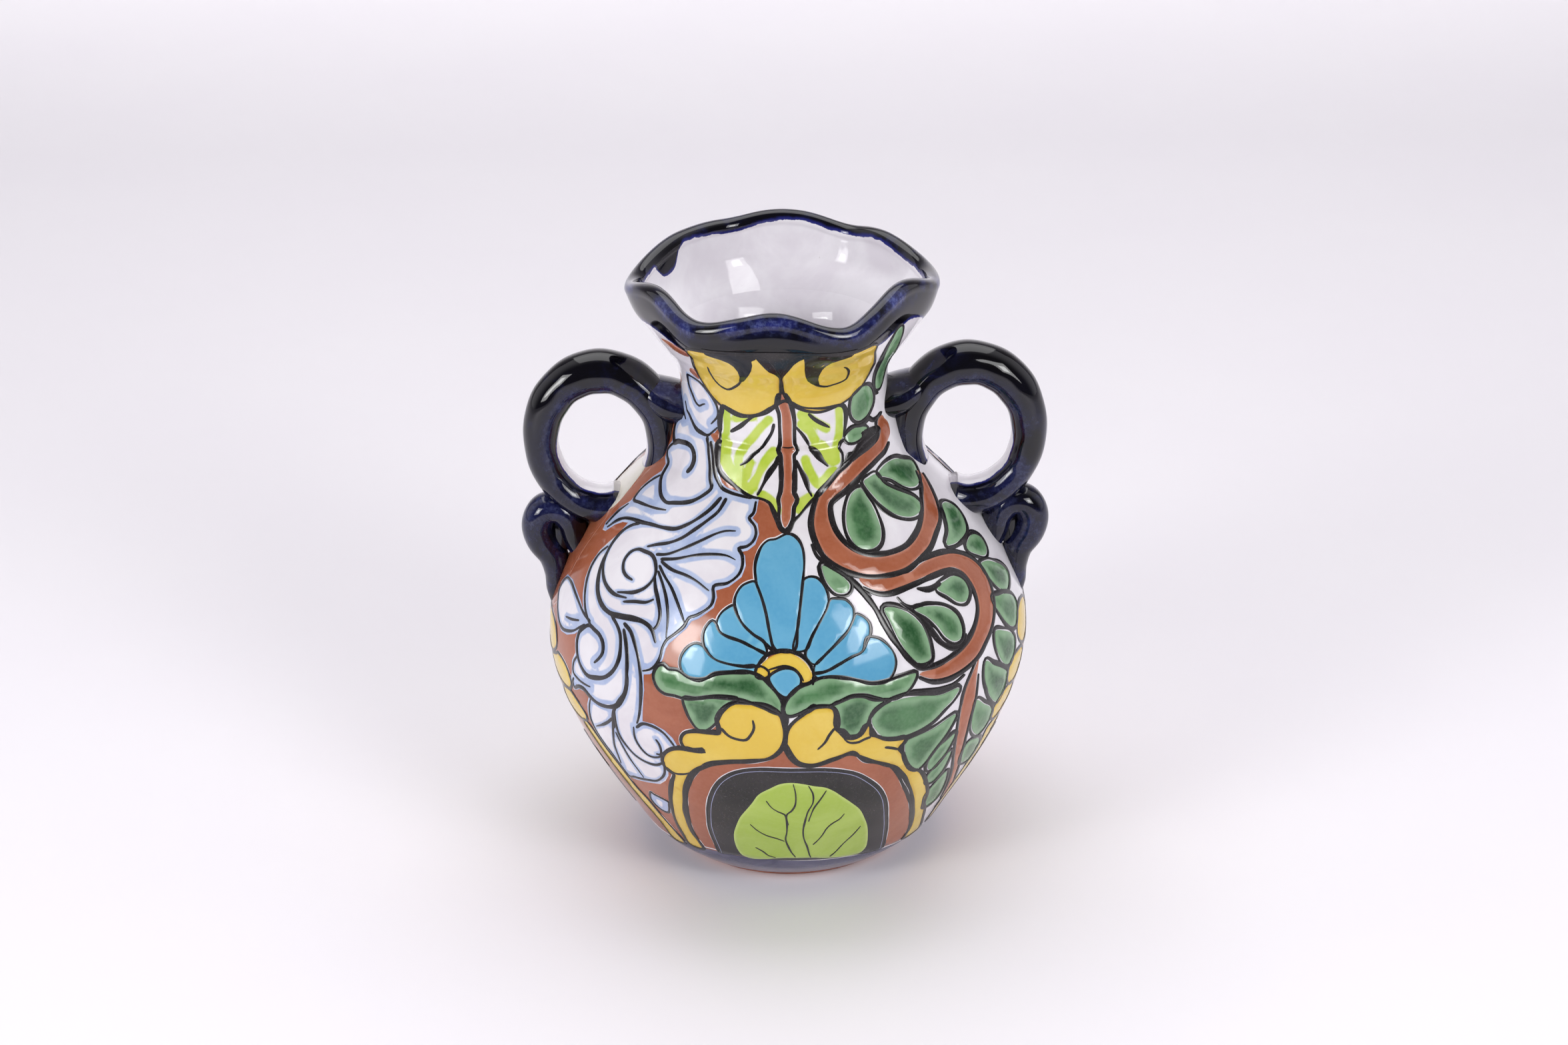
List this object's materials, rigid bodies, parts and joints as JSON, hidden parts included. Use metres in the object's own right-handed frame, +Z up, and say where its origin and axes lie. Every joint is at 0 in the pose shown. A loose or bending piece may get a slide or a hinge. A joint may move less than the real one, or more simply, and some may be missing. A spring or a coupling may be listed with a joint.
{
  "type": "talavera pottery vase",
  "caption": "Globular hand-painted earthenware vase with a ruffled lip, a waisted neck and coil handles ending in scrolls, for flowers or display.",
  "frame": {"origin": "centre of the foot plane, on the vase's axis", "axes": "+Z up along the vase's axis; the handles lie along X; the painted front faces -Y"},
  "size_m": [0.1642, 0.15, 0.1941],
  "materials": {
    "bare_clay": "matte unglazed terracotta",
    "white_glaze": "gloss tin glaze",
    "cobalt_glaze": "gloss cobalt glaze, near black where thick",
    "terracotta_enamel": "gloss terracotta enamel",
    "yellow_enamel": "gloss yellow enamel",
    "green_enamel": "gloss green glaze, pooled darker at the middle",
    "lime_enamel": "gloss lime enamel",
    "sky_blue_enamel": "gloss sky blue enamel",
    "blue_wash": "gloss thin blue wash",
    "black_line": "satin near-black outline"
  },
  "bodies": {
    "root": {"foot_ring": "bare_clay", "base_disc": "white_glaze", "belly": "white_glaze", "shoulder": "white_glaze", "neck_collar": "white_glaze", "lip_coil": "cobalt_glaze", "left_handle_loop": "cobalt_glaze", "right_handle_loop": "cobalt_glaze", "left_neck_wad": "cobalt_glaze", "right_neck_wad": "cobalt_glaze", "left_handle_scroll": "cobalt_glaze", "right_handle_scroll": "cobalt_glaze"}
  },
  "joints": []
}
